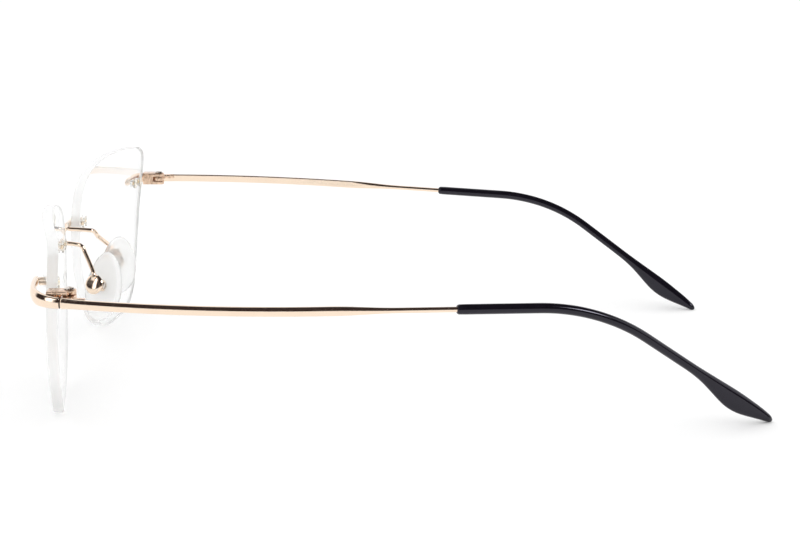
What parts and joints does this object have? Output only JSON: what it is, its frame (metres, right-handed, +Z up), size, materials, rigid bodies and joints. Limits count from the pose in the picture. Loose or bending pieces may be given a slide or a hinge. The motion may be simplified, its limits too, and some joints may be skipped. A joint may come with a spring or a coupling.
{
  "type": "rimless eyeglasses",
  "caption": "Rimless eyeglasses: drilled clear lenses joined by a metal bridge, soft nose pads on wire arms, slim metal temples that fold on screwed hinges, dark curved temple tips.",
  "frame": {"origin": "middle of the bounding box, on the surface that the lenses and the temple tips stand on", "axes": "+X to the wearer's left, +Y from the lenses back to the ears, +Z up; temples open"},
  "size_m": [0.144, 0.1428, 0.0383],
  "materials": {
    "metal": "polished rose gold plating",
    "screw": "bright",
    "lens": "clear, polished, uncoated",
    "sleeve": "clear",
    "tip": "gloss",
    "core": "clear, stiff",
    "pad": "clear silicone"
  },
  "bodies": {
    "front": {"bridge": "metal", "lens_left": "lens", "lens_right": "lens", "bridge_sleeves_left": "sleeve", "bridge_sleeves_right": "sleeve", "endpiece_sleeves_left": "sleeve", "endpiece_sleeves_right": "sleeve", "endpiece_left": "metal", "endpiece_right": "metal", "front_hinge_leaf_left": "metal", "front_hinge_leaf_right": "metal", "hinge_screw_left": "screw", "hinge_screw_right": "screw", "pad_arm_left": "metal", "pad_arm_right": "metal", "pad_box_left": "metal", "pad_box_right": "metal", "pad_screw_left": "screw", "pad_screw_right": "screw"},
    "temple_left": {"temple_left": "metal", "rear_hinge_leaf_left": "metal", "temple_tip_left": "tip"},
    "pad_left": {"nose_pad_left": "pad", "pad_core_left": "core"},
    "temple_right": {"temple_right": "metal", "rear_hinge_leaf_right": "metal", "temple_tip_right": "tip"},
    "pad_right": {"nose_pad_right": "pad", "pad_core_right": "core"}
  },
  "joints": [
    {"name": "fold_left", "type": "hinge", "parent": "front", "child": "temple_left", "pos_m": [0.0656, -0.058, 0.0283], "axis": [0, 0, 1], "range_deg": [0, 80]},
    {"name": "fold_right", "type": "hinge", "parent": "front", "child": "temple_right", "pos_m": [-0.0656, -0.058, 0.0283], "axis": [0, 0, -1], "range_deg": [0, 74]},
    {"name": "rock_left", "type": "hinge", "parent": "front", "child": "pad_left", "pos_m": [0.0121, -0.0615, 0.0186], "axis": [0.4226, 0.9063, 0], "range_deg": [-8, 8]},
    {"name": "rock_right", "type": "hinge", "parent": "front", "child": "pad_right", "pos_m": [-0.0121, -0.0615, 0.0186], "axis": [-0.4226, 0.9063, 0], "range_deg": [-8, 8]}
  ]
}
